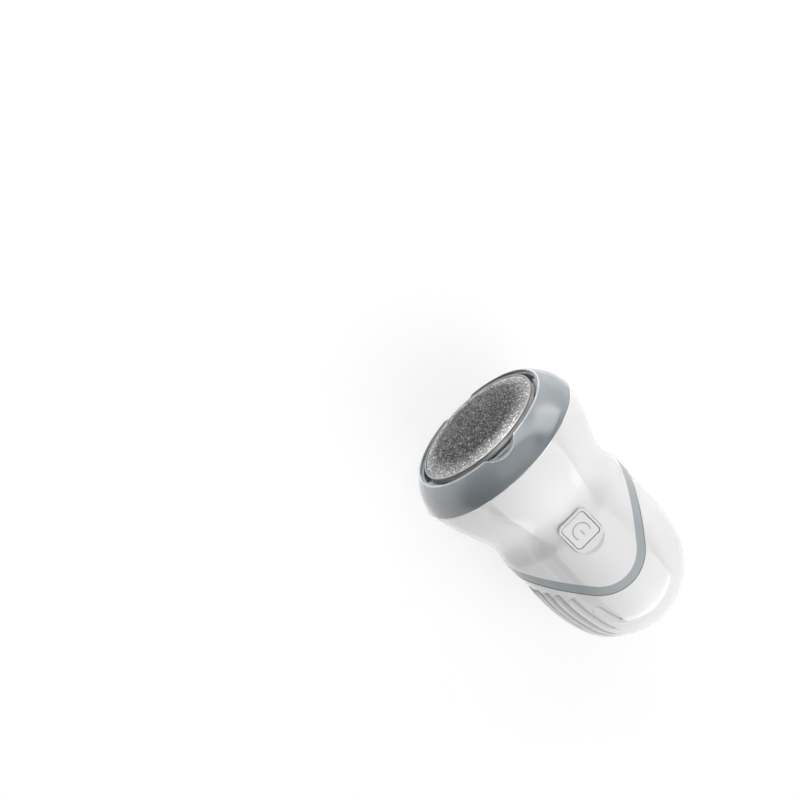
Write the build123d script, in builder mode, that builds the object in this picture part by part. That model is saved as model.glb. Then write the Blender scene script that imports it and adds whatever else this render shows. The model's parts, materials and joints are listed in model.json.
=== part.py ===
from build123d import *
from math import acos, asin, atan2, cos, degrees, hypot, radians, sin, sqrt, tan
import os

# A cordless vacuum foot grinder. The device is a body of revolution with an hourglass outline.
# It lies on its back: the head points to -Y, the button side up, the dust louvres to +X.
# All lengths are in millimetres. A station is a distance along the device axis, counted from the
# joint between head bezel and body towards the tail. A height is counted the other way.

os.makedirs("parts", exist_ok=True)

# ---- Driving dimensions ----

# Outline of the body: a flare that steepens into a cone, a waist, a straight belly and a round
# tail. The start angle is the flare's tilt where it meets the head bezel.
head_radius = 40.0
waist_radius = 31.3
belly_swell = 1.0
belly_radius = waist_radius + belly_swell
body_length = 106.7
start_angle = 7.6
flare_round = 86.0
cone_angle = 21.0
waist_round = 21.0
swell_round = 14.0
shoulder_round = 83.0
shoulder_angle = 13.5
body_wall = 2.0
cup_wall = 2.2
hole_margin = 0.5
flat_depth = 0.15

# Trim band in the shape of a V, seen from the front and from the back; its apex is the tail-side one
tail_reserve = 33.7
band_apex = body_length - tail_reserve
band_width = 4.1
band_depth = 1.1
band_slope = 48.7
band_round = 20.6
cup_gap = 0.3

# Inner barrel: outside it lies the air gap to the sleeve
sleeve_air_gap = 1.8
barrel_radius = waist_radius - body_wall - sleeve_air_gap
barrel_wall = 1.6
barrel_inner = barrel_radius - barrel_wall
barrel_end = band_apex
rail_thickness = 1.5
rail_overlap = 0.9
rail_start = 10.0
rail_margin = 10.0
rail_end = barrel_end - rail_margin
guide_radius = belly_radius - cup_wall - 0.4
guide_width = 4.0
guide_root = 1.0
guide_start = barrel_end - 22.0
guide_end = barrel_end - 4.0
guide_turns = (-35, 150, 215)
stem_hole = 4.0
post_radius = 1.6
post_across = 5.5
post_sink = 10.0
post_front = post_sink - barrel_inner

# Head bezel and suction tray
bezel_radius = head_radius - 0.3
bezel_shoulder_radius = bezel_radius - 2.5
bezel_shoulder_height = 7.0
bezel_wall = 2.2
skirt_wall = 1.7
lip_radius = bezel_radius - 6.7
lip_height = 12.4
lip_wall = 0.8
lip_edge = 0.3
notch_round = 12.0
notch_depth = 3.2
tray_outer = lip_radius - lip_wall
tray_wall = 0.9
tray_inner = tray_outer - tray_wall
tray_drop = 1.4
tray_floor = 5.8
tray_thickness = 1.6
tray_slot_radii = (tray_inner - 10.3, tray_inner - 1.8)
ledge_gap = 0.7
ledge_height = lip_height - 2.6
ledge_wall = 1.4
ledge_slot_angle = 46.0
ledge_slot_turns = (206.0, 334.0)
tray_slot_angle = 40.0
tray_slot_count = 6
gasket_height = 0.8

# Grinding disc
disc_radius = tray_inner - 2.1
disc_apex = 16.8
disc_base = 9.4
dome_round = 140.0
dome_flat = disc_radius - 9.2
edge_round = 30.0
grit_thickness = 1.2
rim_wall = 0.8
rim_height = 0.7
rim_step = 0.2
rim_fillet = 0.3
backing_inset = 0.15
backing_height = 2.2
hex_size = 7.0
hex_play = 0.05
hex_length = 3.2
hex_room = 0.3

# Rotor: shaft, drive hub, fan wheel and armature
shaft_radius = 1.5
shaft_play = 0.05
shaft_tail = 3.0
shaft_recess = 1.0
hub_radius = 6.0
tray_hole = hub_radius + 2.0
fan_radius = tray_inner - 7.3
fan_base = -1.6
fan_height = 4.6
fan_disc = 1.2
fan_blade_height = 2.8
fan_blade_inner = 9.0
fan_blade_wall = 0.9
fan_blade_turn = 25.0
fan_blades = 12
armature_radius = 7.0
armature_top = -12.0
armature_length = 17.0

# Motor plate and motor
plate_radius = head_radius - 3.6
plate_top = -3.5
plate_thickness = 2.5
plate_port_radii = (barrel_radius + 0.8, tray_inner - 0.3)
plate_port_angle = 44.0
plate_port_count = 6
locating_ring_wall = 1.6
locating_ring_height = 2.0
ledge_radii = (plate_radius - 3.0, plate_radius + 1.0)
ledge_thickness = 3.0
bearing_radius = 3.5
bearing_rise = 0.6
motor_radius = 11.2
motor_length = 30.0
motor_wall = 0.8
motor_front = 1.8
motor_nose_play = 0.5
motor_cap_thickness = 3.0
magnet_thickness = 2.6
magnet_angle = 130.0

# Screws: head radius, head height, seat depth, shank radius, shank length
motor_screw_circle = 8.0
motor_screw_count = 2
motor_screw = {"head": 1.9, "rise": 1.1, "seat": 1.3, "shank": 1.0, "length": 3.0}
plate_screw_circle = plate_radius - 1.6
plate_screw_count = 3
plate_screw = {"head": 1.25, "rise": 1.0, "seat": 1.2, "shank": 0.8, "length": 3.6}

# Battery, boards and charging socket
port_setback = 11.0
port_station = barrel_end - port_setback
cell_radius = 7.1
cell_start = 8.0
cell_margin = 4.0
cell_length = port_station - cell_start - cell_margin
cell_play = 0.3
cell_round = 0.6
nub_radius = 2.6
nub_length = 1.0
cradle_width = 14.0
cradle_margin = 6.0
board_sink = 8.0
board_height = barrel_inner - board_sink
board_thickness = 1.2
board_width = 19.0
board_start = 14.0
board_margin = 12.0
board_end = barrel_end - board_margin
charge_board_width = 16.0
charge_board_sink = 2.0
charge_board_height = 12.0
port_width = 9.0
port_height = 3.2
port_depth = 9.2
port_wall = 0.3
port_back = 1.0
port_inset = 0.3
tongue_height = 0.7
seal_wall = 1.2

# Button, its frame, symbol and switch
button_station = 39.5
seat_distance = waist_radius + 0.2
seat_radius = 10.4
seat_taper = 63.0
frame_size = 15.0
frame_round = 2.8
frame_wall = 1.1
frame_base = seat_distance - 2.2
frame_top = seat_distance + 0.8
frame_fillet = 0.3
groove_width = 0.22
groove_depth = 0.6
cap_play = 0.2
cap_base = seat_distance - 1.6
cap_top = seat_distance + 0.6
cap_fillet = 0.4
symbol_radius = 3.8
symbol_line = 0.55
symbol_depth = 0.3
symbol_gap_angle = 120.0
symbol_sink = 0.04
symbol_shift = 0.6
bar_length = 2.7
bar_shift = 0.7
switch_size = 6.0
switch_height = 3.5
switch_bore = 1.9
switch_bore_depth = 2.4
plunger_radius = 1.7
plunger_rise = 1.5
plunger_length = 3.0
stem_radius = 2.5

# Dust louvres on the +X side of the dust cup, and the filter behind them; each louvre spans from
# and to a distance before the tail's tip
louvre_pitch = 4.3
louvre_top = belly_radius - 7.0
louvre_crest = 0.9
louvre_depth = 1.6
louvre_slot = 0.9
louvre_spans = ((35.0, 18.0), (43.5, 15.5), (47.7, 11.7), (50.2, 9.7), (52.2, 8.7), (53.2, 8.2))
slot_margins = (2.0, 4.0)
filter_thickness = 1.0
filter_low = 2.0
filter_high = 27.0
filter_length = 44.0
filter_setback = 8.5
filter_end = body_length - filter_setback
filter_start = filter_end - filter_length

# ---- Sizes that follow ----

flare_lead = flare_round * sin(radians(start_angle))
flare_center = head_radius - flare_round * cos(radians(start_angle))
flare_drop = flare_round * (cos(radians(start_angle)) - cos(radians(cone_angle)))
waist_drop = waist_round * (1 - cos(radians(cone_angle)))
cone_drop = head_radius - waist_radius - flare_drop - waist_drop
cone_length = cone_drop / sin(radians(cone_angle))
swell_angle = degrees(acos(1 - (belly_radius - waist_radius) / (waist_round + swell_round)))
shoulder_drop = shoulder_round * (1 - cos(radians(shoulder_angle)))
tail_round = (belly_radius - shoulder_drop) / cos(radians(shoulder_angle))
tail_cap = tail_round * (1 - sin(radians(shoulder_angle)))
belly_end = body_length - tail_cap - shoulder_round * sin(radians(shoulder_angle))

# The device touches the ground with the body's head-side edge and with its shoulder, so its axis
# leans up at the head. A small flat at each of the two keeps it from rolling.
edge_to_center = head_radius + shoulder_round - belly_radius
lean = acos(shoulder_round / hypot(edge_to_center, belly_end)) - atan2(belly_end, edge_to_center)
axis_height = head_radius * cos(lean) - flat_depth
head_reach = dome_round - (dome_round - disc_apex) * cos(lean)
tail_reach = (body_length - tail_round) * cos(lean) + tail_round

dome_angle = degrees(asin(dome_flat / dome_round))
rim_inner = disc_radius - rim_wall
edge_angle = degrees(asin(dome_flat / dome_round + (rim_inner - dome_flat) / edge_round))
crown_drop = dome_round * (1 - cos(radians(dome_angle)))
edge_drop = edge_round * (cos(radians(dome_angle)) - cos(radians(edge_angle)))
dome_edge = disc_apex - crown_drop - edge_drop

plate_base = plate_top - plate_thickness
fan_top = fan_base + fan_height
shaft_top = disc_base - shaft_recess
motor_end = plate_base - motor_length
magnet_radius = motor_radius - motor_wall
cell_center = cell_radius + cell_play - barrel_inner
charge_board_station = port_station + port_height / 2
charge_board_center = charge_board_sink + charge_board_height / 2 - barrel_inner
port_mouth = port_inset - belly_radius
switch_top = board_height + board_thickness + switch_height
frame_inner = frame_size - 2 * frame_wall
cap_size = frame_inner - 2 * cap_play

# A reach that clears the whole device, for cutting right through
beyond = body_length

# ---- Planes and shared outlines ----

# The device plane holds the joint between bezel and body: its x is world X, its y the button side
# and its normal the head direction. The profile plane holds the axis: radius and height.
device = Plane(
    origin=(0, (head_reach - tail_reach) / 2, axis_height),
    x_dir=(1, 0, 0),
    z_dir=(0, -cos(lean), sin(lean)),
)
device_axis = Axis(device.origin, device.z_dir)
profile = Plane(origin=device.origin, x_dir=device.x_dir, z_dir=-device.y_dir)


def at(across, front, height):
    """A point, from its distances across, to the front and towards the head."""
    return device.from_local_coords((across, front, height))


def front_plane(station, distance):
    """A plane that faces the front, at a distance from the device axis; its y runs to the tail."""
    return Plane(origin=at(0, distance, -station), x_dir=device.x_dir, z_dir=device.y_dir)


def outline_face(inset, plane=profile):
    """Half the body's outline, moved inwards by the inset."""
    with BuildSketch(plane) as face:
        with BuildLine():
            widest = (flare_center + flare_round - inset, flare_lead)
            flare = JernArc(widest, (0, -1), flare_round - inset, -cone_angle)
            cone = Line(flare @ 1, flare @ 1 + cone_length * (flare % 1))
            waist = JernArc(cone @ 1, cone % 1, waist_round + inset, cone_angle + swell_angle)
            swell = JernArc(waist @ 1, waist % 1, swell_round - inset, -swell_angle)
            belly = Line(swell @ 1, (belly_radius - inset, -belly_end))
            shoulder = JernArc(belly @ 1, (0, -1), shoulder_round - inset, -shoulder_angle)
            tail = JernArc(shoulder @ 1, shoulder % 1, tail_round - inset, shoulder_angle - 90)
            Polyline(tail @ 1, (0, flare_lead), flare @ 0)
        make_face()
        with Locations((0, beyond / 2)):
            Rectangle(2 * beyond, beyond, mode=Mode.SUBTRACT)
    return face.sketch


def dome_face(inset, base):
    """Half the grit dome's outline above a flat base, moved inwards by the inset."""
    with BuildSketch(profile) as face:
        with BuildLine():
            crown = JernArc((0, disc_apex - inset), (1, 0), dome_round - inset, -dome_angle)
            edge = JernArc(crown @ 1, crown % 1, edge_round - inset, dome_angle - edge_angle)
            Polyline(edge @ 1, ((edge @ 1).X, base), (0, base), crown @ 0)
        make_face()
    return face.sketch


def ring_face(inner, outer, low, high):
    """A rectangle for revolving: radii from inner to outer, heights from low to high."""
    with BuildSketch(profile) as face:
        with Locations(((inner + outer) / 2, (low + high) / 2)):
            Rectangle(outer - inner, high - low)
    return face.sketch


def arc_slots(height, radii, span, turns):
    """Slots that follow circles about the axis, one for each turn, at a height."""
    with BuildSketch(device.offset(height)) as slots:
        for turn in turns:
            with BuildLine():
                inner_arc = CenterArc((0, 0), radii[0], turn - span / 2, span)
                outer_arc = CenterArc((0, 0), radii[1], turn - span / 2, span)
                Line(inner_arc @ 0, outer_arc @ 0)
                Line(inner_arc @ 1, outer_arc @ 1)
            make_face()
    return slots.sketch


def tail_zone(shift):
    """Everything behind the V of the band's tail-side edge, seen from the front and moved by the shift."""
    edge_round = band_round + shift
    corner = band_apex + shift + edge_round * (1 / cos(radians(band_slope)) - 1)
    leg_end = corner - beyond * tan(radians(band_slope))
    with BuildSketch(profile) as zone:
        with BuildLine():
            edge = FilletPolyline((-beyond, -leg_end), (0, -corner), (beyond, -leg_end), radius=edge_round)
            Polyline(edge @ 1, (beyond, -2 * beyond), (-beyond, -2 * beyond), edge @ 0)
        make_face()
    return zone.sketch


def finger_notches():
    """The circle, seen from the front, that cuts both finger notches into bezel and tray."""
    with BuildSketch(profile) as circle:
        with Locations((0, lip_height - notch_depth + notch_round)):
            Circle(notch_round)
    return circle.sketch


def louvre_cutter(ledge, start, end):
    """The wedge of wall that one louvre takes away: deepest at its ledge, flush at its upper edge."""
    flush = ledge + louvre_pitch - louvre_crest
    flush_across = sqrt(belly_radius**2 - flush**2)
    ledge_across = sqrt(belly_radius**2 - ledge**2)
    tilt = asin(louvre_depth / hypot(ledge_across - flush_across, flush - ledge))
    shift_across = flush_across * (1 - cos(tilt)) - flush * sin(tilt)
    shift_front = flush * (1 - cos(tilt)) + flush_across * sin(tilt)
    shifted = Plane(origin=at(shift_across, shift_front, 0), x_dir=device.x_dir, z_dir=profile.z_dir)
    with BuildPart() as cutter:
        with BuildSketch(device.offset(-start)):
            with Locations((head_radius / 2, ledge + louvre_pitch / 2)):
                Rectangle(head_radius, louvre_pitch)
        extrude(amount=start - end)
        revolve(outline_face(0, shifted), axis=Axis(shifted.origin, device.z_dir), mode=Mode.SUBTRACT)
        with BuildSketch(device.offset(-start - slot_margins[0])):
            with Locations((head_radius * 0.6, ledge + louvre_slot / 2)):
                Rectangle(head_radius, louvre_slot)
        extrude(amount=start - end + sum(slot_margins))
    return cutter.part


def symbol_sketch(distance):
    """The power symbol: an open circle whose gap and bar point to the tail."""
    half_gap = 2 * symbol_radius * tan(radians(symbol_gap_angle / 2))
    with BuildSketch(front_plane(button_station + symbol_shift, distance)) as symbol:
        Circle(symbol_radius + symbol_line / 2)
        Circle(symbol_radius - symbol_line / 2, mode=Mode.SUBTRACT)
        with BuildLine():
            Polyline((0, 0), (half_gap, 2 * symbol_radius), (-half_gap, 2 * symbol_radius), (0, 0))
        make_face(mode=Mode.SUBTRACT)
        with Locations((0, bar_shift)):
            SlotOverall(bar_length, symbol_line, rotation=90)
    return symbol.sketch


def screw_part(sizes, circle, turn):
    """A cap screw with a hexagon recess, standing in its seat in the motor plate."""
    seat = device.offset(plate_top - sizes["seat"])
    center = (circle * cos(radians(turn)), circle * sin(radians(turn)))
    with BuildPart() as screw:
        with BuildSketch(seat):
            with Locations(center):
                Circle(sizes["head"])
        extrude(amount=sizes["rise"])
        with BuildSketch(seat.offset(sizes["rise"])):
            with Locations(center):
                RegularPolygon(sizes["head"] / 2, 6)
        extrude(amount=-sizes["rise"] / 2, mode=Mode.SUBTRACT)
        with BuildSketch(seat):
            with Locations(center):
                Circle(sizes["shank"])
        extrude(amount=-sizes["length"])
    return screw.part


# ---- Outer shells ----

with BuildPart() as sleeve_tongue:
    revolve(outline_face(band_depth), axis=device_axis)
    extrude(tail_zone(0), amount=beyond, both=True, mode=Mode.SUBTRACT)

with BuildPart() as body_sleeve:
    revolve(outline_face(0), axis=device_axis)
    extrude(tail_zone(-band_width), amount=beyond, both=True, mode=Mode.SUBTRACT)
    add(sleeve_tongue.part)
    revolve(outline_face(body_wall), axis=device_axis, mode=Mode.SUBTRACT)
    revolve(ring_face(*ledge_radii, plate_base - ledge_thickness, plate_base), axis=device_axis)
    with Locations(device.offset(plate_base)):
        with PolarLocations(plate_screw_circle, plate_screw_count, start_angle=90):
            Hole(plate_screw["shank"], depth=ledge_thickness - hole_margin)
    with BuildSketch(front_plane(button_station, seat_distance)):
        Circle(seat_radius)
    extrude(amount=body_wall, taper=-seat_taper, mode=Mode.SUBTRACT)
    with BuildSketch(front_plane(button_station, seat_distance - groove_depth)):
        groove_size = frame_size + 2 * groove_width
        RectangleRounded(groove_size, groove_size, frame_round + groove_width)
    extrude(amount=body_wall, mode=Mode.SUBTRACT)
    with BuildSketch(front_plane(button_station, seat_distance)):
        RectangleRounded(frame_size, frame_size, frame_round)
    extrude(amount=3 * body_wall, both=True, mode=Mode.SUBTRACT)
    with BuildSketch(front_plane(port_station, port_mouth)):
        SlotOverall(port_width + 2 * seal_wall, port_height + 2 * seal_wall)
    extrude(amount=2 * body_wall, both=True, mode=Mode.SUBTRACT)
    split(bisect_by=Plane.XY)
body_sleeve.part.label = "body_sleeve"
export_step(body_sleeve.part, "parts/body_sleeve.step")

with BuildPart() as trim_band:
    revolve(outline_face(0), axis=device_axis)
    revolve(outline_face(band_depth), axis=device_axis, mode=Mode.SUBTRACT)
    extrude(tail_zone(-band_width), amount=beyond, both=True, mode=Mode.INTERSECT)
    extrude(tail_zone(0), amount=beyond, both=True, mode=Mode.SUBTRACT)
    split(bisect_by=Plane.XY)
trim_band.part.label = "trim_band"
export_step(trim_band.part, "parts/trim_band.step")

with BuildPart() as dust_cup:
    revolve(outline_face(0), axis=device_axis)
    extrude(tail_zone(cup_gap), amount=beyond, both=True, mode=Mode.INTERSECT)
    revolve(outline_face(cup_wall), axis=device_axis, mode=Mode.SUBTRACT)
    for row, (before_start, before_end) in enumerate(louvre_spans):
        ledge = louvre_top - louvre_pitch * row
        cutter = louvre_cutter(ledge, body_length - before_start, body_length - before_end)
        add(cutter, mode=Mode.SUBTRACT)
    split(bisect_by=Plane.XY)
dust_cup.part.label = "dust_cup"
export_step(dust_cup.part, "parts/dust_cup.step")

with BuildPart() as filter_panel:
    revolve(outline_face(cup_wall), axis=device_axis)
    revolve(outline_face(cup_wall + filter_thickness), axis=device_axis, mode=Mode.SUBTRACT)
    with BuildSketch(device.offset(-filter_start)):
        with Locations((head_radius / 2, (filter_low + filter_high) / 2)):
            Rectangle(head_radius, filter_high - filter_low)
    extrude(amount=filter_start - filter_end, mode=Mode.INTERSECT)
    extrude(tail_zone(2 * cup_gap), amount=beyond, both=True, mode=Mode.INTERSECT)
filter_panel.part.label = "filter_panel"
export_step(filter_panel.part, "parts/filter_panel.step")

# ---- Head: bezel with lip and skirt, suction tray and its gasket ----

with BuildPart() as head_bezel:
    with BuildSketch(profile):
        with BuildLine():
            cone = ThreePointArc(
                (bezel_radius, 0),
                (bezel_shoulder_radius, bezel_shoulder_height),
                (lip_radius, lip_height - lip_edge),
            )
            Polyline(
                cone @ 1,
                (lip_radius - lip_edge, lip_height),
                (tray_outer, lip_height),
                (tray_outer, plate_top),
                (tray_outer + skirt_wall, plate_top),
                (tray_outer + skirt_wall, bezel_shoulder_height),
                (bezel_shoulder_radius - bezel_wall, bezel_shoulder_height - bezel_wall),
                (bezel_radius - bezel_wall, 0),
                cone @ 0,
            )
        make_face()
    revolve(axis=device_axis)
    extrude(finger_notches(), amount=beyond, both=True, mode=Mode.SUBTRACT)
head_bezel.part.label = "head_bezel"
export_step(head_bezel.part, "parts/head_bezel.step")

tray_turns = [90 + 360 / tray_slot_count * slot for slot in range(tray_slot_count)]

with BuildPart() as suction_tray:
    revolve(
        ring_face(tray_inner, tray_outer, plate_top + gasket_height, lip_height - tray_drop),
        axis=device_axis,
    )
    revolve(
        ring_face(tray_hole, tray_outer - tray_wall / 2, tray_floor - tray_thickness, tray_floor),
        axis=device_axis,
    )
    extrude(
        arc_slots(tray_floor, tray_slot_radii, tray_slot_angle, tray_turns),
        amount=-tray_thickness,
        mode=Mode.SUBTRACT,
    )
    extrude(finger_notches(), amount=beyond, both=True, mode=Mode.SUBTRACT)
    revolve(
        ring_face(disc_radius + ledge_gap, tray_outer, ledge_height - ledge_wall, ledge_height),
        axis=device_axis,
    )
    extrude(
        arc_slots(ledge_height, (disc_radius, tray_inner), ledge_slot_angle, ledge_slot_turns),
        amount=-ledge_wall,
        mode=Mode.SUBTRACT,
    )
suction_tray.part.label = "suction_tray"
export_step(suction_tray.part, "parts/suction_tray.step")

with BuildPart() as tray_gasket:
    revolve(ring_face(tray_inner, tray_outer, plate_top, plate_top + gasket_height), axis=device_axis)
tray_gasket.part.label = "tray_gasket"
export_step(tray_gasket.part, "parts/tray_gasket.step")

# ---- Grinding disc: grit dome, metal rim, and backing with a hexagon socket ----

with BuildPart() as abrasive_pad:
    revolve(dome_face(0, dome_edge - grit_thickness), axis=device_axis)
    revolve(dome_face(grit_thickness, disc_base), axis=device_axis, mode=Mode.SUBTRACT)
abrasive_pad.part.label = "abrasive_pad"
export_step(abrasive_pad.part, "parts/abrasive_pad.step")

with BuildPart() as disc_rim:
    revolve(ring_face(rim_inner, disc_radius, dome_edge - rim_height, dome_edge + rim_step), axis=device_axis)
    fillet(disc_rim.edges().filter_by(GeomType.CIRCLE).group_by(SortBy.RADIUS)[-1], rim_fillet)
disc_rim.part.label = "disc_rim"
export_step(disc_rim.part, "parts/disc_rim.step")

with BuildPart() as disc_backing:
    revolve(dome_face(grit_thickness, disc_base), axis=device_axis)
    revolve(ring_face(0, rim_inner, dome_edge - backing_height, dome_edge - grit_thickness), axis=device_axis)
    revolve(
        ring_face(rim_inner, disc_radius - backing_inset, dome_edge - backing_height, dome_edge - rim_height),
        axis=device_axis,
    )
    with BuildSketch(device.offset(disc_base)):
        RegularPolygon(hex_size / 2 + hex_play, 6, major_radius=False)
    extrude(amount=hex_length + hex_room, mode=Mode.SUBTRACT)
disc_backing.part.label = "disc_backing"
export_step(disc_backing.part, "parts/disc_backing.step")

# ---- Rotor: everything that the shaft carries ----

with BuildPart() as motor_shaft:
    with BuildSketch(device.offset(motor_end - shaft_tail)):
        Circle(shaft_radius)
    extrude(amount=shaft_top - motor_end + shaft_tail)
motor_shaft.part.label = "motor_shaft"
export_step(motor_shaft.part, "parts/motor_shaft.step")

with BuildPart() as drive_hub:
    with BuildSketch(device.offset(fan_top)):
        Circle(hub_radius)
    extrude(amount=disc_base - fan_top)
    with BuildSketch(device.offset(disc_base)):
        RegularPolygon(hex_size / 2, 6, major_radius=False)
    extrude(amount=hex_length)
    with BuildSketch(device.offset(fan_top)):
        Circle(shaft_radius)
    extrude(amount=shaft_top - fan_top, mode=Mode.SUBTRACT)
drive_hub.part.label = "drive_hub"
export_step(drive_hub.part, "parts/drive_hub.step")

with BuildPart() as fan_wheel:
    with BuildSketch(device.offset(fan_base)):
        Circle(fan_radius)
    extrude(amount=fan_disc)
    with BuildSketch(device.offset(fan_base)):
        Circle(hub_radius)
    extrude(amount=fan_height)
    with BuildSketch(device.offset(fan_base + fan_disc)):
        with PolarLocations((fan_radius + fan_blade_inner) / 2, fan_blades):
            Rectangle(fan_radius - fan_blade_inner, fan_blade_wall, rotation=fan_blade_turn)
    extrude(amount=fan_blade_height)
    with BuildSketch(device.offset(fan_base)):
        Circle(shaft_radius)
    extrude(amount=fan_height, mode=Mode.SUBTRACT)
fan_wheel.part.label = "fan_wheel"
export_step(fan_wheel.part, "parts/fan_wheel.step")

with BuildPart() as armature:
    with BuildSketch(device.offset(armature_top)):
        Circle(armature_radius)
        Circle(shaft_radius, mode=Mode.SUBTRACT)
    extrude(amount=-armature_length)
armature.part.label = "armature"
export_step(armature.part, "parts/armature.step")

# ---- Motor plate: the wall behind the fan, with air ports around the barrel ----

plate_port_turns = [60 + 360 / plate_port_count * port for port in range(plate_port_count)]

with BuildPart() as motor_plate:
    revolve(ring_face(bearing_radius, plate_radius, plate_base, plate_top), axis=device_axis)
    revolve(
        ring_face(
            barrel_inner - locating_ring_wall,
            barrel_inner,
            plate_base - locating_ring_height,
            plate_base,
        ),
        axis=device_axis,
    )
    extrude(
        arc_slots(plate_top, plate_port_radii, plate_port_angle, plate_port_turns),
        amount=-plate_thickness,
        mode=Mode.SUBTRACT,
    )
    with Locations(device.offset(plate_top)):
        with PolarLocations(motor_screw_circle, motor_screw_count):
            CounterBoreHole(motor_screw["shank"], motor_screw["head"], motor_screw["seat"], plate_thickness)
        with PolarLocations(plate_screw_circle, plate_screw_count, start_angle=90):
            CounterBoreHole(plate_screw["shank"], plate_screw["head"], plate_screw["seat"], plate_thickness)
motor_plate.part.label = "motor_plate"
export_step(motor_plate.part, "parts/motor_plate.step")

with BuildPart() as shaft_bearing:
    revolve(
        ring_face(shaft_radius + shaft_play, bearing_radius, plate_base, plate_top + bearing_rise),
        axis=device_axis,
    )
shaft_bearing.part.label = "shaft_bearing"
export_step(shaft_bearing.part, "parts/shaft_bearing.step")

for number in range(motor_screw_count):
    turn = 360 / motor_screw_count * number
    screw = screw_part(motor_screw, motor_screw_circle, turn)
    screw.label = f"motor_screw_{number + 1}"
    export_step(screw, f"parts/motor_screw_{number + 1}.step")

for number in range(plate_screw_count):
    turn = 90 + 360 / plate_screw_count * number
    screw = screw_part(plate_screw, plate_screw_circle, turn)
    screw.label = f"plate_screw_{number + 1}"
    export_step(screw, f"parts/plate_screw_{number + 1}.step")

# ---- Motor ----

with BuildPart() as motor_can:
    with BuildSketch(device.offset(plate_base)):
        Circle(motor_radius)
    extrude(amount=-motor_length)
    with BuildSketch(device.offset(plate_base - motor_front)):
        Circle(magnet_radius)
    extrude(amount=-motor_length, mode=Mode.SUBTRACT)
    with Locations(device.offset(plate_base)):
        Hole(shaft_radius + motor_nose_play, depth=motor_front)
        with PolarLocations(motor_screw_circle, motor_screw_count):
            Hole(motor_screw["shank"], depth=motor_front)
motor_can.part.label = "motor_can"
export_step(motor_can.part, "parts/motor_can.step")

with BuildPart() as motor_cap:
    with BuildSketch(device.offset(motor_end)):
        Circle(magnet_radius)
        Circle(shaft_radius + shaft_play, mode=Mode.SUBTRACT)
    extrude(amount=motor_cap_thickness)
motor_cap.part.label = "motor_cap"
export_step(motor_cap.part, "parts/motor_cap.step")

for side, turn in (("front", 90), ("back", 270)):
    with BuildPart() as magnet:
        radii = (magnet_radius - magnet_thickness, magnet_radius)
        extrude(arc_slots(armature_top, radii, magnet_angle, [turn]), amount=-armature_length)
    magnet.part.label = f"magnet_{side}"
    export_step(magnet.part, f"parts/magnet_{side}.step")

# ---- Inner barrel: carries the electronics inside and guides the dust cup outside ----

with BuildPart() as inner_barrel:
    with BuildSketch(device.offset(plate_base)):
        Circle(barrel_radius)
    extrude(amount=-barrel_end - plate_base)
    with BuildSketch(device.offset(plate_base)):
        Circle(barrel_inner)
    extrude(amount=barrel_wall - barrel_end - plate_base, mode=Mode.SUBTRACT)
    with BuildSketch(device.offset(-rail_start)):
        Circle(barrel_inner + barrel_wall / 2)
        with Locations((0, board_height - rail_thickness / 2)):
            Rectangle(2 * barrel_radius, rail_thickness, mode=Mode.INTERSECT)
            Rectangle(board_width - 2 * rail_overlap, rail_thickness, mode=Mode.SUBTRACT)
    extrude(amount=rail_start - rail_end)
    with BuildSketch(device.offset(-guide_start)):
        for turn in guide_turns:
            with PolarLocations((barrel_inner + guide_radius) / 2, 1, start_angle=turn):
                Rectangle(guide_radius - barrel_inner + guide_root, guide_width)
        Circle(guide_radius, mode=Mode.INTERSECT)
        Circle(barrel_inner, mode=Mode.SUBTRACT)
    extrude(amount=guide_start - guide_end)
    with BuildSketch(device.offset(-charge_board_station - board_thickness)):
        with Locations((-post_across, post_front), (post_across, post_front)):
            Circle(post_radius)
    extrude(amount=charge_board_station + board_thickness - barrel_end + barrel_wall)
    with BuildSketch(front_plane(button_station, board_height)):
        Circle(stem_hole)
    extrude(amount=barrel_radius, mode=Mode.SUBTRACT)
    with BuildSketch(front_plane(port_station, -barrel_inner)):
        Rectangle(port_width, port_height)
    extrude(amount=2 * barrel_wall, both=True, mode=Mode.SUBTRACT)
inner_barrel.part.label = "inner_barrel"
export_step(inner_barrel.part, "parts/inner_barrel.step")

# ---- Battery in its cradle, on the back side of the barrel ----

with BuildPart() as battery_cell:
    with BuildSketch(device.offset(-cell_start)):
        with Locations((0, cell_center)):
            Circle(cell_radius)
    extrude(amount=-cell_length)
    fillet(battery_cell.edges().filter_by(GeomType.CIRCLE), cell_round)
    with BuildSketch(device.offset(-cell_start - cell_length)):
        with Locations((0, cell_center)):
            Circle(nub_radius)
    extrude(amount=-nub_length)
battery_cell.part.label = "battery_cell"
export_step(battery_cell.part, "parts/battery_cell.step")

with BuildPart() as battery_cradle:
    with BuildSketch(device.offset(-cell_start - cradle_margin)):
        Circle(barrel_inner)
        with Locations((0, cell_center - cell_radius)):
            Rectangle(cradle_width, 2 * cell_radius, mode=Mode.INTERSECT)
        with Locations((0, cell_center)):
            Circle(cell_radius, mode=Mode.SUBTRACT)
    extrude(amount=2 * cradle_margin - cell_length)
battery_cradle.part.label = "battery_cradle"
export_step(battery_cradle.part, "parts/battery_cradle.step")

# ---- Control board with its switch, on the barrel's rails under the button ----

with BuildPart() as control_board:
    with BuildSketch(front_plane((board_start + board_end) / 2, board_height)):
        RectangleRounded(board_width, board_end - board_start, board_thickness)
    extrude(amount=board_thickness)
control_board.part.label = "control_board"
export_step(control_board.part, "parts/control_board.step")

with BuildPart() as switch_body:
    with BuildSketch(front_plane(button_station, board_height + board_thickness)):
        Rectangle(switch_size, switch_size)
    extrude(amount=switch_height)
    with Locations(front_plane(button_station, switch_top)):
        Hole(switch_bore, depth=switch_bore_depth)
switch_body.part.label = "switch_body"
export_step(switch_body.part, "parts/switch_body.step")

# ---- Charging socket at the back, on its own board ----

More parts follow.
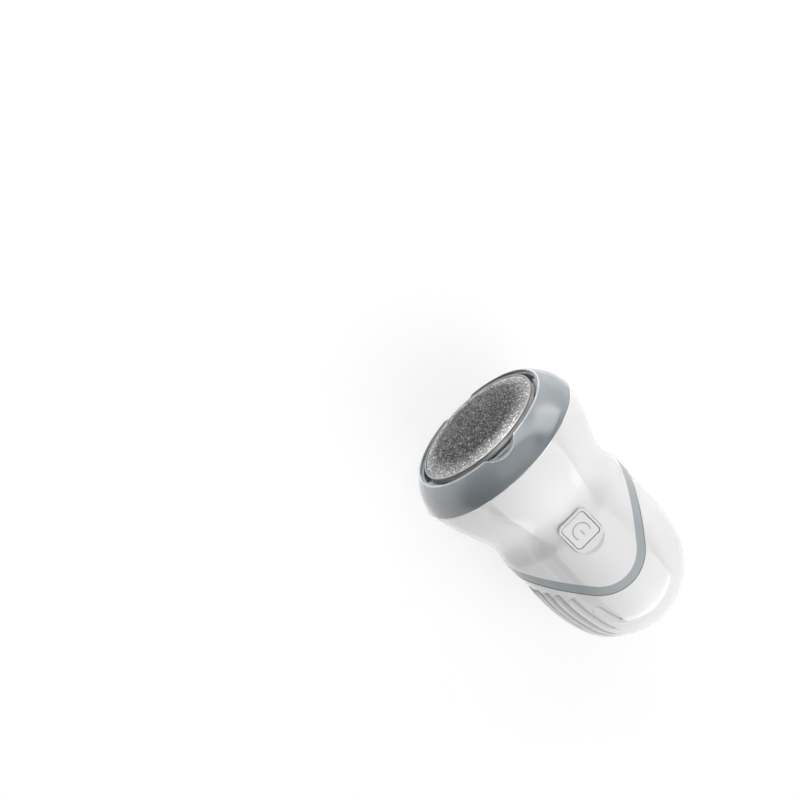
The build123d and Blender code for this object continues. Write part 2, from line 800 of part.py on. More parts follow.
with BuildPart() as charge_port:
    with BuildSketch(front_plane(port_station, port_mouth)):
        SlotOverall(port_width, port_height)
    extrude(amount=port_depth)
    with BuildSketch(front_plane(port_station, port_mouth)):
        SlotOverall(port_width - 2 * port_wall, port_height - 2 * port_wall)
    extrude(amount=port_depth - port_back, mode=Mode.SUBTRACT)
    with BuildSketch(front_plane(port_station, port_mouth + port_back)):
        Rectangle(port_width - port_height, tongue_height)
    extrude(amount=port_depth - 1.5 * port_back)
charge_port.part.label = "charge_port"
export_step(charge_port.part, "parts/charge_port.step")

with BuildPart() as charge_board:
    with BuildSketch(device.offset(-charge_board_station)):
        with Locations((0, charge_board_center)):
            Rectangle(charge_board_width, charge_board_height)
    extrude(amount=-board_thickness)
charge_board.part.label = "charge_board"
export_step(charge_board.part, "parts/charge_board.step")

with BuildPart() as port_seal:
    with BuildSketch(front_plane(port_station, port_mouth)):
        SlotOverall(port_width + 2 * seal_wall, port_height + 2 * seal_wall)
        SlotOverall(port_width, port_height, mode=Mode.SUBTRACT)
    extrude(amount=-port_mouth - barrel_radius)
port_seal.part.label = "port_seal"
export_step(port_seal.part, "parts/port_seal.step")

# ---- Button: frame in the sleeve, cap with its symbol, and the switch's plunger ----

with BuildPart() as button_frame:
    with BuildSketch(front_plane(button_station, frame_base)):
        RectangleRounded(frame_size, frame_size, frame_round)
        RectangleRounded(frame_inner, frame_inner, frame_round - frame_wall, mode=Mode.SUBTRACT)
    extrude(amount=frame_top - frame_base)
    fillet(button_frame.faces().sort_by(Axis(device.origin, device.y_dir))[-1].edges(), frame_fillet)
button_frame.part.label = "button_frame"
export_step(button_frame.part, "parts/button_frame.step")

with BuildPart() as button_cap:
    with BuildSketch(front_plane(button_station, cap_base)):
        RectangleRounded(cap_size, cap_size, frame_round - frame_wall - cap_play)
    extrude(amount=cap_top - cap_base)
    fillet(button_cap.faces().sort_by(Axis(device.origin, device.y_dir))[-1].edges(), cap_fillet)
    with BuildSketch(front_plane(button_station, cap_base)):
        Circle(stem_radius)
    extrude(amount=switch_top + plunger_rise - cap_base)
    extrude(symbol_sketch(cap_top), amount=-symbol_depth, mode=Mode.SUBTRACT)
button_cap.part.label = "button_cap"
export_step(button_cap.part, "parts/button_cap.step")

with BuildPart() as power_symbol:
    extrude(symbol_sketch(cap_top - symbol_depth), amount=symbol_depth - symbol_sink)
power_symbol.part.label = "power_symbol"
export_step(power_symbol.part, "parts/power_symbol.step")

with BuildPart() as switch_plunger:
    with BuildSketch(front_plane(button_station, switch_top + plunger_rise)):
        Circle(plunger_radius)
    extrude(amount=-plunger_length)
switch_plunger.part.label = "switch_plunger"
export_step(switch_plunger.part, "parts/switch_plunger.step")
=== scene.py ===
import json
import math

import bmesh
import bpy
from mathutils import Matrix, Vector
from mathutils.bvhtree import BVHTree


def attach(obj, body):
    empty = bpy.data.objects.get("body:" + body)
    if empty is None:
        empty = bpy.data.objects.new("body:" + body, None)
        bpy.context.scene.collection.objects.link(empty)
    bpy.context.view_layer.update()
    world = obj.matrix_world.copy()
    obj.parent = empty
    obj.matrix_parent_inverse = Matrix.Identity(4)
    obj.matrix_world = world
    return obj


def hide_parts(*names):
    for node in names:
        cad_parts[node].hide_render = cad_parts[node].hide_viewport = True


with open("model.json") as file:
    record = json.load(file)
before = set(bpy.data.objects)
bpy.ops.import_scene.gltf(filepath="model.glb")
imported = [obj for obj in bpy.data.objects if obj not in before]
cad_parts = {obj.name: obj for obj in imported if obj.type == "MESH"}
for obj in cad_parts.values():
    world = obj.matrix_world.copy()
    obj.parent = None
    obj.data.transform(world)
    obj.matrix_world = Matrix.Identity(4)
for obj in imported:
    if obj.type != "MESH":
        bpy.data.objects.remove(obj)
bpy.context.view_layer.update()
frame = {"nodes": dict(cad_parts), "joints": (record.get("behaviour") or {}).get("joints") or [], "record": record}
nodes = frame["nodes"]
joints = {joint["name"]: joint for joint in frame["joints"]}

# The device's own directions: the spin axis runs to the head, the button faces the front.
headWay = Vector(joints["rotor_spin"]["axis"]).normalized()
frontWay = -Vector(joints["button_press"]["axis"]).normalized()
sideWay = Vector((1, 0, 0))
junction = Vector(joints["rotor_spin"]["pos_m"])


def deviceWay(side, front, head):
    return (sideWay * side + frontWay * front + headWay * head).normalized()


cameraSet = {
    "towards": (0.0056, 0.9231, 0.3847),  # side, front and head shares
    "right": (-0.7103, 0.2744, -0.6482),
    "distance": 1.535,
    "lens": 165.0,
    "sensor": 36.0,
    "junctionAt": (0.1218, -0.0585),  # off centre, as a share of the frame
    "nearest": 0.05,
    "farthest": 50,
}


def makeCamera(s):
    towards = deviceWay(*s["towards"])
    right = deviceWay(*s["right"])
    right = (right - towards * right.dot(towards)).normalized()
    facing = Matrix((right, towards.cross(right), towards)).transposed()
    # turns the camera a little, so that the junction lands off centre
    wide = s["sensor"] / s["lens"]
    aim = Vector((s["junctionAt"][0] * wide, s["junctionAt"][1] * wide, -1)).normalized()
    turn = aim.rotation_difference(Vector((0, 0, -1))).to_matrix()
    data = bpy.data.cameras.new("camera")
    data.lens = s["lens"]
    data.sensor_width = s["sensor"]
    data.clip_start = s["nearest"]
    data.clip_end = s["farthest"]
    camera = bpy.data.objects.new("camera", data)
    bpy.context.scene.collection.objects.link(camera)
    camera.matrix_world = Matrix.Translation(junction + towards * s["distance"]) @ (facing @ turn).to_4x4()
    bpy.context.scene.camera = camera
    print("camera done")


makeCamera(cameraSet)


def newMaterial(name):
    material = bpy.data.materials.new(name)
    material.use_nodes = True
    shader = next(node for node in material.node_tree.nodes if node.type == "BSDF_PRINCIPLED")
    return material, material.node_tree, shader


def addNode(tree, kind, settings=None, inputs=None):
    node = tree.nodes.new(kind)
    for key, value in (settings or {}).items():
        setattr(node, key, value)
    for key, value in (inputs or {}).items():
        if isinstance(value, bpy.types.NodeSocket):
            tree.links.new(value, node.inputs[key])
        else:
            node.inputs[key].default_value = value
    return node


def place(tree, stretch=(1, 1, 1)):
    coords = addNode(tree, "ShaderNodeTexCoord")
    mapping = addNode(tree, "ShaderNodeMapping", None, {"Vector": coords.outputs["Object"]})
    mapping.inputs["Scale"].default_value = stretch
    return mapping.outputs["Vector"]


def noise(tree, vector, scale, detail=2.0, rough=0.5):
    node = addNode(tree, "ShaderNodeTexNoise", None,
                   {"Vector": vector, "Scale": scale, "Detail": detail, "Roughness": rough})
    return node.outputs["Fac"]


def spread(tree, value, low, high, start=0.3, end=0.7):
    node = addNode(tree, "ShaderNodeMapRange", None,
                   {"Value": value, "From Min": start, "From Max": end, "To Min": low, "To Max": high})
    return node.outputs["Result"]


def blend(tree, value, first, second):
    # mixes two colours, each of which is a socket or three shares
    node = addNode(tree, "ShaderNodeMix", {"data_type": "RGBA"}, {"Factor": value})
    for name, colour in (("A", first), ("B", second)):
        if isinstance(colour, bpy.types.NodeSocket):
            tree.links.new(colour, node.inputs[name])
        else:
            node.inputs[name].default_value = (*colour, 1)
    return node.outputs["Result"]


def bump(tree, height, depth, below=None):
    node = addNode(tree, "ShaderNodeBump", None, {"Height": height, "Distance": depth, "Strength": 1.0})
    if below:
        tree.links.new(below, node.inputs["Normal"])
    return node.outputs["Normal"]


def shade(colour, by):
    return tuple(max(0.0, min(1.0, channel * by)) for channel in colour)


plasticBase = {
    "mottleScale": 60,
    "mottleDetail": 3,
    "vary": 0.02,  # how far the tone strays from the colour
    "polishScale": 220,
    "polishDetail": 4,
    "grainScale": 2500,
    "grainDetail": 2,
    "grainDepth": 0.000004,
    "specular": 0.5,
    "coat": 0.0,
    "coatRoughness": 0.05,
    # samples for the occlusion mask that paints shade into recesses
    "paintedShadeSamples": 8,
    "edgeSamples": 6,
}


def mouldedPlastic(name, own):
    # mottled tone, uneven polish and a fine moulded grain
    s = {**plasticBase, **own}
    material, tree, shader = newMaterial(name)
    at = place(tree)
    mottle = spread(tree, noise(tree, at, s["mottleScale"], s["mottleDetail"]), 0, 1)
    colour = blend(tree, mottle, shade(s["colour"], 1 - s["vary"]), shade(s["colour"], 1 + s["vary"]))
    if "lipPaintedHighlight" in s:
        # painted highlight: a pale band round the lip of the mouth stands in for light caught on its edge
        station = addNode(tree, "ShaderNodeVectorMath", {"operation": "DOT_PRODUCT"}, {0: at, 1: headWay})
        offset = junction.dot(headWay)
        paintedLipHighlight = spread(tree, station.outputs["Value"], 0, 1, *(offset + reach for reach in s["lipPaintedHighlight"]))
        colour = blend(tree, paintedLipHighlight, colour, s["lipHighlightColour"])
    if "paintedShadeReach" in s:
        # painted shade: an ambient occlusion mask greys the recesses, where shade falls
        hollow = addNode(tree, "ShaderNodeAmbientOcclusion", {
            "samples": s["paintedShadeSamples"], "only_local": True}, {"Distance": s["paintedShadeReach"]})
        unshaded = spread(tree, hollow.outputs["AO"], 0, 1, *s["paintedShadeRange"])
        colour = blend(tree, unshaded, s["paintedShadeColour"], colour)
    tree.links.new(colour, shader.inputs["Base Color"])
    polish = spread(tree, noise(tree, at, s["polishScale"], s["polishDetail"]), *s["roughness"])
    tree.links.new(polish, shader.inputs["Roughness"])
    grain = noise(tree, at, s["grainScale"], s["grainDetail"])
    softened = None
    if "edgeRound" in s:
        bevel = addNode(tree, "ShaderNodeBevel", {"samples": s["edgeSamples"]}, {"Radius": s["edgeRound"]})
        softened = bevel.outputs["Normal"]
        tree.links.new(softened, shader.inputs["Coat Normal"])
    tree.links.new(bump(tree, grain, s["grainDepth"], softened), shader.inputs["Normal"])
    shader.inputs["Specular IOR Level"].default_value = s["specular"]
    shader.inputs["Coat Weight"].default_value = s["coat"]
    shader.inputs["Coat Roughness"].default_value = s["coatRoughness"]
    return material


metalBase = {"stretch": (900, 900, 60), "dullScale": 180, "vary": 0.12, "markDepth": 0.000008}


def metalFinish(name, own):
    # drawing marks along one direction, and a little tarnish
    s = {**metalBase, **own}
    material, tree, shader = newMaterial(name)
    marks = noise(tree, place(tree, s["stretch"]), 1.0, 3)
    dull = spread(tree, noise(tree, place(tree), s["dullScale"], 4), 0, 1)
    colour = blend(tree, dull, shade(s["colour"], 1 - s["vary"]), s["colour"])
    tree.links.new(colour, shader.inputs["Base Color"])
    tree.links.new(spread(tree, marks, *s["roughness"]), shader.inputs["Roughness"])
    tree.links.new(bump(tree, marks, s["markDepth"]), shader.inputs["Normal"])
    shader.inputs["Metallic"].default_value = 1.0
    return material


castBase = {"pitShade": 0.6, "pitRange": (0.1, 0.6), "pitDepth": 0.00004, "polishScale": 300}


def castFinish(name, own):
    # pitted, sintered surface
    s = {**castBase, **own}
    material, tree, shader = newMaterial(name)
    at = place(tree)
    pits = addNode(tree, "ShaderNodeTexVoronoi", {"feature": "F1"}, {"Vector": at, "Scale": s["pitScale"]})
    depth = pits.outputs["Distance"]
    crust = spread(tree, depth, 0, 1, *s["pitRange"])
    colour = blend(tree, crust, shade(s["colour"], s["pitShade"]), s["colour"])
    tree.links.new(colour, shader.inputs["Base Color"])
    polish = spread(tree, noise(tree, at, s["polishScale"], 3), *s["roughness"])
    tree.links.new(polish, shader.inputs["Roughness"])
    tree.links.new(bump(tree, depth, s["pitDepth"]), shader.inputs["Normal"])
    shader.inputs["Metallic"].default_value = s["metallic"]
    return material


def boardFinish(name, s):
    # solder mask with lighter copper tracks under it
    material, tree, shader = newMaterial(name)
    at = place(tree)
    tracks = addNode(tree, "ShaderNodeTexBrick", {
        "offset": s["trackShift"], "squash": s["trackSquash"], "squash_frequency": 3}, {
        "Vector": at, "Scale": s["trackScale"],
        "Mortar Size": s["trackWidth"], "Mortar Smooth": s["trackBlur"]})
    tracks.inputs["Color1"].default_value = (*s["colour"], 1)
    tracks.inputs["Color2"].default_value = (*shade(s["colour"], s["secondShade"]), 1)
    tracks.inputs["Mortar"].default_value = (*s["track"], 1)
    tree.links.new(tracks.outputs["Color"], shader.inputs["Base Color"])
    tree.links.new(bump(tree, tracks.outputs["Fac"], s["trackDepth"]), shader.inputs["Normal"])
    polish = spread(tree, noise(tree, at, s["polishScale"], 3), *s["roughness"])
    tree.links.new(polish, shader.inputs["Roughness"])
    return material


def meshFinish(name, s):
    # woven filter mesh: two crossing runs of threads
    material, tree, shader = newMaterial(name)
    at = place(tree)
    runs = []
    for direction in ("Y", "Z"):
        wave = addNode(tree, "ShaderNodeTexWave", {"bands_direction": direction}, {
            "Vector": at, "Scale": s["threadScale"],
            "Distortion": s["waver"], "Detail Scale": s["waverScale"]})
        runs.append(wave.outputs["Fac"])
    over = addNode(tree, "ShaderNodeMath", {"operation": "MAXIMUM"}, {0: runs[0], 1: runs[1]})
    weave = over.outputs["Value"]
    hole, crown = (shade(s["colour"], by) for by in s["threadShades"])
    tree.links.new(blend(tree, weave, hole, crown), shader.inputs["Base Color"])
    tree.links.new(bump(tree, weave, s["threadDepth"]), shader.inputs["Normal"])
    shader.inputs["Roughness"].default_value = s["roughness"]
    shader.inputs["Sheen Weight"].default_value = s["sheen"]
    return material


def gritFinish(name, s):
    # each grain has its own tone; the disc is darker in the middle and lighter towards the rim, partly wear and
    # partly a painted highlight
    material, tree, shader = newMaterial(name)
    grainTone = addNode(tree, "ShaderNodeAttribute", {"attribute_name": "tone"}).outputs["Fac"]
    reach = addNode(tree, "ShaderNodeAttribute", {"attribute_name": "reach"}).outputs["Fac"]
    fine = noise(tree, place(tree), s["fineScale"], 3, s["fineRough"])
    middle = blend(tree, grainTone, *s["middle"])
    edge = blend(tree, grainTone, *s["edge"])
    wearAndHighlight = spread(tree, reach, 0, 1, *s["wearAndHighlight"])
    tree.links.new(blend(tree, wearAndHighlight, middle, edge), shader.inputs["Base Color"])
    tree.links.new(spread(tree, fine, *s["roughness"]), shader.inputs["Roughness"])
    tree.links.new(bump(tree, fine, s["fineDepth"]), shader.inputs["Normal"])
    shader.inputs["Metallic"].default_value = s["metallic"]
    return material


# one finish for each of the record's slots, and one for the louvre beads
glossWhite = {
    "edgeRound": 0.0004, "colour": (0.83, 0.83, 0.83), "vary": 0.006, "roughness": (0.07, 0.11),
    "grainScale": 900, "grainDepth": 0.0000015, "specular": 0.6, "coat": 1.0, "coatRoughness": 0.03}
finishes = {
    "white_shell": mouldedPlastic("glossWhiteShell", glossWhite),
    "white_cup": mouldedPlastic("glossWhiteCup", {
        # painted shade: the cup's louvre grooves are greyed by the occlusion mask
        **glossWhite, "paintedShadeReach": 0.005, "paintedShadeRange": (0.5, 0.93), "paintedShadeColour": (0.3, 0.3, 0.31)}),
    "white_bead": mouldedPlastic("glossWhiteBead", glossWhite),
    "white_frame": mouldedPlastic("glossWhiteFrame", glossWhite),
    "white_button": mouldedPlastic("glossWhiteButton", glossWhite),
    "grey_bezel": mouldedPlastic("greyBezel", {
        "edgeRound": 0.0005, "colour": (0.19, 0.212, 0.228), "vary": 0.03,
        # the pale lip band set here is a painted highlight
        "lipPaintedHighlight": (0.0119, 0.0123), "lipHighlightColour": (0.42, 0.44, 0.46), "roughness": (0.2, 0.26),
        "grainScale": 3500, "grainDepth": 0.000003, "specular": 0.9, "coat": 1.0, "coatRoughness": 0.14}),
    "grey_trim": mouldedPlastic("greyTrim", {
        "colour": (0.38, 0.41, 0.43), "vary": 0.03, "roughness": (0.3, 0.38), "coat": 0.4,
        "coatRoughness": 0.28}),
    "grey_tray": mouldedPlastic("greyTray", {
        "colour": (0.24, 0.26, 0.275), "vary": 0.04, "roughness": (0.28, 0.4), "grainDepth": 0.000008}),
    "dark_plastic": mouldedPlastic("darkPlastic", {
        "colour": (0.03, 0.03, 0.033), "vary": 0.15, "roughness": (0.4, 0.55), "grainDepth": 0.00001}),
    "barrel_plastic": mouldedPlastic("barrelPlastic", {
        "colour": (0.55, 0.56, 0.57), "vary": 0.03, "roughness": (0.38, 0.5), "grainDepth": 0.00001}),
    "backing_plastic": mouldedPlastic("backingPlastic", {
        "colour": (0.66, 0.66, 0.65), "vary": 0.25, "roughness": (0.4, 0.55), "grainDepth": 0.00001}),
    "fan_plastic": mouldedPlastic("fanPlastic", {
        "colour": (0.1, 0.1, 0.11), "vary": 0.08, "roughness": (0.35, 0.5), "grainDepth": 0.000008}),
    "rubber": mouldedPlastic("softRubber", {
        "colour": (0.05, 0.05, 0.05), "vary": 0.15, "roughness": (0.65, 0.8), "grainScale": 1200,
        "grainDepth": 0.00002}),
    "symbol_grey": mouldedPlastic("symbolGrey", {
        "colour": (0.5, 0.51, 0.52), "vary": 0.03, "roughness": (0.3, 0.4)}),
    "cell_sleeve": mouldedPlastic("cellSleeve", {
        "colour": (0.05, 0.17, 0.42), "vary": 0.06, "roughness": (0.15, 0.28), "grainScale": 250,
        "grainDepth": 0.00003, "coat": 0.5}),
    "steel": metalFinish("platedSteel", {"colour": (0.6, 0.6, 0.6), "roughness": (0.22, 0.4)}),
    "port_metal": metalFinish("portMetal", {"colour": (0.6, 0.6, 0.62), "roughness": (0.2, 0.32)}),
    "rim_metal": metalFinish("rolledRim", {
        "colour": (0.42, 0.42, 0.42), "roughness": (0.35, 0.5), "stretch": (500, 500, 500)}),
    "bronze": castFinish("sinteredBronze", {
        "colour": (0.55, 0.36, 0.16), "pitScale": 3000, "roughness": (0.35, 0.5), "metallic": 1.0}),
    "magnet": castFinish("ferrite", {
        "colour": (0.09, 0.09, 0.095), "pitScale": 2500, "roughness": (0.5, 0.7), "metallic": 0.3}),
    "circuit_board": boardFinish("circuitBoard", {
        "colour": (0.02, 0.17, 0.07), "secondShade": 0.85, "track": (0.07, 0.32, 0.13), "trackScale": 260,
        "trackShift": 0.35, "trackSquash": 0.7, "trackWidth": 0.08, "trackBlur": 0.1, "trackDepth": 0.00003,
        "polishScale": 400, "roughness": (0.25, 0.4)}),
    "filter_mesh": meshFinish("filterMesh", {
        "colour": (0.16, 0.16, 0.17), "threadScale": 800, "threadShades": (0.3, 1.4), "threadDepth": 0.0001,
        "waver": 0.4, "waverScale": 3.0, "roughness": 0.75, "sheen": 0.2}),
    "grit": gritFinish("mineralGrit", {
        # the lighter edge colours towards the rim are partly wear and partly a painted highlight
        "middle": ((0.004, 0.004, 0.004), (0.27, 0.27, 0.27)), "edge": ((0.2, 0.2, 0.2), (0.8, 0.8, 0.8)),
        "wearAndHighlight": (0.73, 0.99), "fineScale": 2600, "fineRough": 0.7, "fineDepth": 0.00008,
        "roughness": (0.28, 0.5), "metallic": 0.75}),
}

for row in frame["record"]["subparts"]:
    node = nodes[row["node"]]
    node.data.materials.clear()
    node.data.materials.append(finishes[row["material_slot"]])
print("finishes done:", len(finishes))



def newTree(name, sizes, counts=()):
    # a node group that takes geometry, named sizes and whole numbers
    tree = bpy.data.node_groups.new(name, "GeometryNodeTree")
    tree.interface.new_socket("Geometry", in_out="INPUT", socket_type="NodeSocketGeometry")
    for size in sizes:
        tree.interface.new_socket(size, in_out="INPUT", socket_type="NodeSocketFloat")
    for count in counts:
        tree.interface.new_socket(count, in_out="INPUT", socket_type="NodeSocketInt")
    tree.interface.new_socket("Geometry", in_out="OUTPUT", socket_type="NodeSocketGeometry")
    return tree, tree.nodes.new("NodeGroupInput").outputs, tree.nodes.new("NodeGroupOutput").inputs


def endTree(tree, geometry, material, end):
    finish = addNode(tree, "GeometryNodeSetMaterial", None, {"Geometry": geometry})
    finish.inputs["Material"].default_value = material
    tree.links.new(finish.outputs["Geometry"], end["Geometry"])


def growPiece(name, mesh, tree, given):
    # runs the tree on a mesh, and keeps what it makes as a plain mesh
    piece = bpy.data.objects.new(name, mesh)
    bpy.context.scene.collection.objects.link(piece)
    modifier = piece.modifiers.new(tree.name, "NODES")
    modifier.node_group = tree
    for item in tree.interface.items_tree:
        if item.in_out == "INPUT" and item.name in given:
            modifier[item.identifier] = given[item.name]
    depsgraph = bpy.context.evaluated_depsgraph_get()
    result = bpy.data.meshes.new_from_object(piece.evaluated_get(depsgraph))
    piece.modifiers.clear()
    piece.data = result
    return piece


# grit: a dome set with grains, which takes the plain pad's place
gritSet = {
    "grainSize": 0.00095,
    "sizeSpread": (0.55, 1.3),
    "spacing": 0.00062,
    "density": 3000000.0,
    "sink": 0.0002,  # how deep the grains sit in the dome
    "inset": 0.0004,  # room for the grains under the pad's own surface
    "bedTone": 0.12,
    "seed": 11,
    "outward": 0.2,  # faces that look less than this to the head stay bare
    "mergeWithin": 0.000001,
}


def gritTree(s, material):
    tree, ask, end = newTree("gritGrains", ("Grain Size", "Spacing", "Density", "Sink"), ("Seed",))
    # grains sit only where the dome's sown attribute says so
    sown = addNode(tree, "GeometryNodeInputNamedAttribute", {"data_type": "FLOAT"}, {"Name": "sown"})
    scatter = addNode(tree, "GeometryNodeDistributePointsOnFaces", {"distribute_method": "POISSON"}, {
        "Mesh": ask["Geometry"], "Distance Min": ask["Spacing"], "Density Max": ask["Density"],
        "Density Factor": sown.outputs["Attribute"], "Seed": ask["Seed"]})
    lower = addNode(tree, "ShaderNodeVectorMath", {"operation": "SCALE"}, {
        "Vector": scatter.outputs["Normal"], "Scale": ask["Sink"]})
    sunk = addNode(tree, "GeometryNodeSetPosition", None, {
        "Geometry": scatter.outputs["Points"], "Offset": lower.outputs["Vector"]})
    tone = addNode(tree, "FunctionNodeRandomValue", {"data_type": "FLOAT"}, {"Seed": ask["Seed"]})
    toned = addNode(tree, "GeometryNodeStoreNamedAttribute", {"data_type": "FLOAT", "domain": "POINT"}, {
        "Geometry": sunk.outputs["Geometry"], "Name": "tone", "Value": tone.outputs["Value"]})
    grain = addNode(tree, "GeometryNodeMeshIcoSphere", None, {"Radius": 0.5, "Subdivisions": 1})
    turn = addNode(tree, "FunctionNodeRandomValue", {"data_type": "FLOAT_VECTOR"}, {"Seed": ask["Seed"]})
    turn.inputs["Max"].default_value = (math.tau, math.tau, math.tau)
    size = addNode(tree, "FunctionNodeRandomValue", {"data_type": "FLOAT_VECTOR"}, {"Seed": ask["Seed"]})
    size.inputs["Min"].default_value = (s["sizeSpread"][0],) * 3
    size.inputs["Max"].default_value = (s["sizeSpread"][1],) * 3
    scale = addNode(tree, "ShaderNodeVectorMath", {"operation": "SCALE"}, {
        "Vector": size.outputs["Value"], "Scale": ask["Grain Size"]})
    sow = addNode(tree, "GeometryNodeInstanceOnPoints", None, {
        "Points": toned.outputs["Geometry"], "Instance": grain.outputs["Mesh"],
        "Rotation": turn.outputs["Value"], "Scale": scale.outputs["Vector"]})
    real = addNode(tree, "GeometryNodeRealizeInstances", None, {"Geometry": sow.outputs["Instances"]})
    both = tree.nodes.new("GeometryNodeJoinGeometry")
    tree.links.new(ask["Geometry"], both.inputs["Geometry"])
    tree.links.new(real.outputs["Geometry"], both.inputs["Geometry"])
    endTree(tree, both.outputs["Geometry"], material, end)
    return tree


def makeGrit(s):
    mesh = nodes["abrasive_pad"].data.copy()
    work = bmesh.new()
    work.from_mesh(mesh)
    bmesh.ops.remove_doubles(work, verts=work.verts, dist=s["mergeWithin"])
    work.to_mesh(mesh)
    work.free()

    # how far each point is from the axis, its tone, and which faces take grains
    far = max((v.co - junction).cross(headWay).length for v in mesh.vertices)
    reach = mesh.attributes.new("reach", "FLOAT", "POINT")
    for v in mesh.vertices:
        reach.data[v.index].value = (v.co - junction).cross(headWay).length / far
    sown = mesh.attributes.new("sown", "FLOAT", "FACE")
    for face in mesh.polygons:
        sown.data[face.index].value = 1.0 if face.normal.dot(headWay) > s["outward"] else 0.0
    tone = mesh.attributes.new("tone", "FLOAT", "POINT")
    for v in mesh.vertices:
        tone.data[v.index].value = s["bedTone"]
    for v in mesh.vertices:
        v.co -= headWay * s["inset"]

    dome = growPiece("gritDome", mesh, gritTree(s, finishes["grit"]), {
        "Grain Size": s["grainSize"], "Spacing": s["spacing"], "Density": s["density"],
        "Sink": -s["sink"], "Seed": s["seed"]})
    print("grit done:", len(dome.data.polygons), "faces")
    return dome


grit = makeGrit(gritSet)
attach(grit, "disc")
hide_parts("abrasive_pad")

# louvres: a rounded bead along the crest of each one
louvreSet = {
    "topHeight": 0.0253,  # top of the first louvre, in front of the axis
    "pitch": 0.0043,
    "below": 0.00045,  # from a louvre's top to its crest
    "from": (0.0717, 0.0632, 0.059, 0.0565, 0.0545, 0.0535),  # from the junction towards the tail
    "to": (0.0887, 0.0912, 0.095, 0.097, 0.098, 0.0985),
    "steps": 28,
    "radius": 0.0006,
    "bury": 0.0001,
    "profileSides": 10,
    "outside": 0.06,  # clear of the cup's side, where the search for its surface starts
    "thinnest": 0.15,  # girth at a bead's ends
    "taper": 3,
}


def beadTree(s, material):
    tree, ask, end = newTree("louvreBeads", ("Bead Radius",))
    girth = addNode(tree, "GeometryNodeInputNamedAttribute", {"data_type": "FLOAT"}, {"Name": "girth"})
    lines = addNode(tree, "GeometryNodeMeshToCurve", None, {"Mesh": ask["Geometry"]})
    ring = addNode(tree, "GeometryNodeCurvePrimitiveCircle", None, {
        "Resolution": s["profileSides"], "Radius": ask["Bead Radius"]})
    beads = addNode(tree, "GeometryNodeCurveToMesh", None, {
        "Curve": lines.outputs["Curve"], "Profile Curve": ring.outputs["Curve"], "Fill Caps": True,
        "Scale": girth.outputs["Attribute"]})
    real = addNode(tree, "GeometryNodeRealizeInstances", None, {"Geometry": beads.outputs["Mesh"]})
    endTree(tree, real.outputs["Geometry"], material, end)
    return tree


def makeLouvreBeads(s):
    cup = nodes["dust_cup"].data
    faces = [tuple(face.vertices) for face in cup.polygons]
    surface = BVHTree.FromPolygons([v.co for v in cup.vertices], faces)
    points, edges, girths = [], [], []
    for row, (first, last) in enumerate(zip(s["from"], s["to"])):
        height = s["topHeight"] - s["pitch"] * row - s["below"]
        for step in range(s["steps"] + 1):
            share = step / s["steps"]
            onAxis = junction - headWay * (first + (last - first) * share)
            hit = surface.ray_cast(onAxis + frontWay * height + sideWay * s["outside"], -sideWay)[0]
            if step:
                edges.append((len(points) - 1, len(points)))
            points.append(hit - (hit - onAxis).normalized() * s["bury"])
            girths.append(max(s["thinnest"], min(1.0, math.sin(math.pi * share) * s["taper"])))
    mesh = bpy.data.meshes.new("louvre_beads")
    mesh.from_pydata(points, edges, [])
    girth = mesh.attributes.new("girth", "FLOAT", "POINT")
    for index, value in enumerate(girths):
        girth.data[index].value = value
    tree = beadTree(s, finishes["white_bead"])
    beads = growPiece("louvre_beads", mesh, tree, {"Bead Radius": s["radius"]})
    for face in beads.data.polygons:
        face.use_smooth = True
    print("louvre beads done:", len(beads.data.polygons), "faces")
    return beads


louvreBeads = makeLouvreBeads(louvreSet)
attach(louvreBeads, "dust_cup")

# floor and light
floorSet = {"radius": 7.0, "wall": 1.0, "sides": 64, "colour": (0.45, 0.45, 0.45), "seen": 0.64}


def makeFloor(s):
    # a round floor inside a low wall, both the same white
    mesh = bpy.data.meshes.new("floor")
    sides = s["sides"]
    around = [math.tau * k / sides for k in range(sides)]
    rim = [(s["radius"] * math.cos(angle), s["radius"] * math.sin(angle)) for angle in around]
    corners = [(x, y, z) for z in (0, s["wall"]) for x, y in rim]
    walls = [(k, (k + 1) % sides, (k + 1) % sides + sides, k + sides) for k in range(sides)]
    mesh.from_pydata(corners, [], [tuple(range(sides))] + [tuple(reversed(wall)) for wall in walls])
    floor = bpy.data.objects.new("floor", mesh)
    bpy.context.scene.collection.objects.link(floor)
    material = bpy.data.materials.new("paleFloor")
    material.use_nodes = True
    tree = material.node_tree
    tree.nodes.clear()
    matte = addNode(tree, "ShaderNodeBsdfDiffuse")
    matte.inputs["Color"].default_value = (*s["colour"], 1)
    rays = addNode(tree, "ShaderNodeLightPath")
    either = addNode(tree, "ShaderNodeMath", {"operation": "MAXIMUM"}, {
        0: rays.outputs["Is Camera Ray"], 1: rays.outputs["Is Glossy Ray"]})
    seen = addNode(tree, "ShaderNodeMath", {"operation": "MAXIMUM"}, {
        0: either.outputs["Value"], 1: rays.outputs["Is Transmission Ray"]})
    lift = addNode(tree, "ShaderNodeMath", {"operation": "MULTIPLY"}, {
        0: seen.outputs["Value"], 1: s["seen"]})
    glow = addNode(tree, "ShaderNodeEmission", None, {"Strength": lift.outputs["Value"]})
    both = addNode(tree, "ShaderNodeAddShader")
    tree.links.new(matte.outputs["BSDF"], both.inputs[0])
    tree.links.new(glow.outputs["Emission"], both.inputs[1])
    out = addNode(tree, "ShaderNodeOutputMaterial")
    tree.links.new(both.outputs["Shader"], out.inputs["Surface"])
    mesh.materials.append(material)


makeFloor(floorSet)

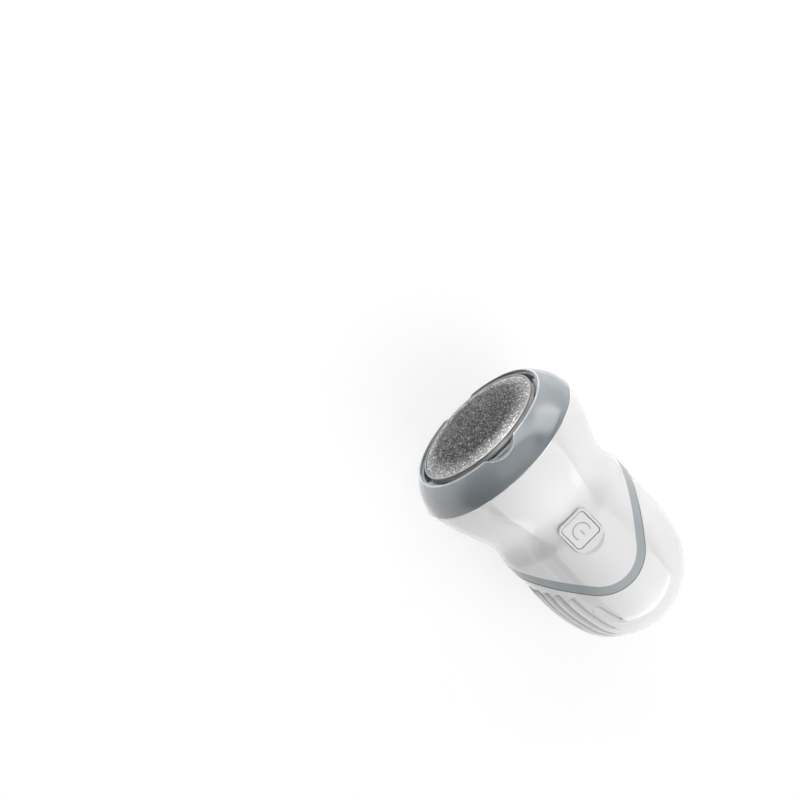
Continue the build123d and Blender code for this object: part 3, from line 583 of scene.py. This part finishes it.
# face is the way a lamp points, glow the brightness a mirror would show at its low and high edge
lamps = {
    "slopingPanel": {
        "at": (0.0, 1.05, 0.73), "face": (0, -0.62, -0.78),
        "size": (2.5, 2.4), "glow": (2.55, 1.0), "sides": 0.5},
    "sideBox": {
        "at": (-1.12, -0.5, 0.42), "face": (0.87, 0.39, -0.3),
        "size": (1.0, 0.9), "glow": (2.5, 2.2)},
    "headBox": {
        "at": (-0.45, -1.03, 0.6), "face": (0.36, 0.82, -0.45),
        "size": (0.7, 0.6), "glow": (1.6, 1.6)},
    "leftCard": {
        "at": (1.2, 0.44, 0.27), "face": (-0.92, -0.34, -0.2),
        "size": (0.95, 0.5), "glow": (0.5, 0.5)},
    "rightCard": {
        "at": (-1.12, 0.62, 0.33), "face": (0.86, -0.45, -0.24),
        "size": (0.95, 0.6), "glow": (0.3, 0.3)},
    "lowStrip": {
        "at": (-0.16, -1.24, 0.16), "face": (0.13, 0.99, -0.1),
        "size": (0.8, 0.2), "glow": (30.0, 30.0)},
    "ceiling": {
        "at": (-0.1, -0.45, 1.2), "face": (0.07, 0.35, -0.93),
        "size": (1.3, 0.8), "glow": (0.6, 0.6)},
}


def addLamp(name, s):
    data = bpy.data.lights.new(name, "AREA")
    data.shape = "RECTANGLE"
    data.size, data.size_y = s["size"]
    data.energy = math.pi * s["size"][0] * s["size"][1]
    data.use_nodes = True
    tree = data.node_tree
    emission = next(node for node in tree.nodes if node.type == "EMISSION")
    onLamp = addNode(tree, "ShaderNodeNewGeometry").outputs["Parametric"]
    across = addNode(tree, "ShaderNodeSeparateXYZ", None, {"Vector": onLamp})
    along = spread(tree, across.outputs["Y"], *s["glow"], 0, 1)
    off = addNode(tree, "ShaderNodeMath", {"operation": "PINGPONG"}, {0: across.outputs["X"], 1: 0.5})
    sides = spread(tree, off.outputs["Value"], s.get("sides", 1), 1, 0, 0.5)
    total = addNode(tree, "ShaderNodeMath", {"operation": "MULTIPLY"}, {0: along, 1: sides})
    tree.links.new(total.outputs["Value"], emission.inputs["Strength"])
    lamp = bpy.data.objects.new(name, data)
    bpy.context.scene.collection.objects.link(lamp)
    facing = Vector(s["face"]).to_track_quat("-Z", "Y").to_matrix().to_4x4()
    lamp.matrix_world = Matrix.Translation(Vector(s["at"])) @ facing


for lampName, lampSet in lamps.items():
    addLamp(lampName, lampSet)

worldSet = {"colour": (1, 1, 1), "strength": 0.08}
world = bpy.data.worlds.new("studio")
world.use_nodes = True
back = next(node for node in world.node_tree.nodes if node.type == "BACKGROUND")
back.inputs["Color"].default_value = (*worldSet["colour"], 1)
back.inputs["Strength"].default_value = worldSet["strength"]
bpy.context.scene.world = world
bpy.context.scene.view_settings.view_transform = "Standard"
print("light done")
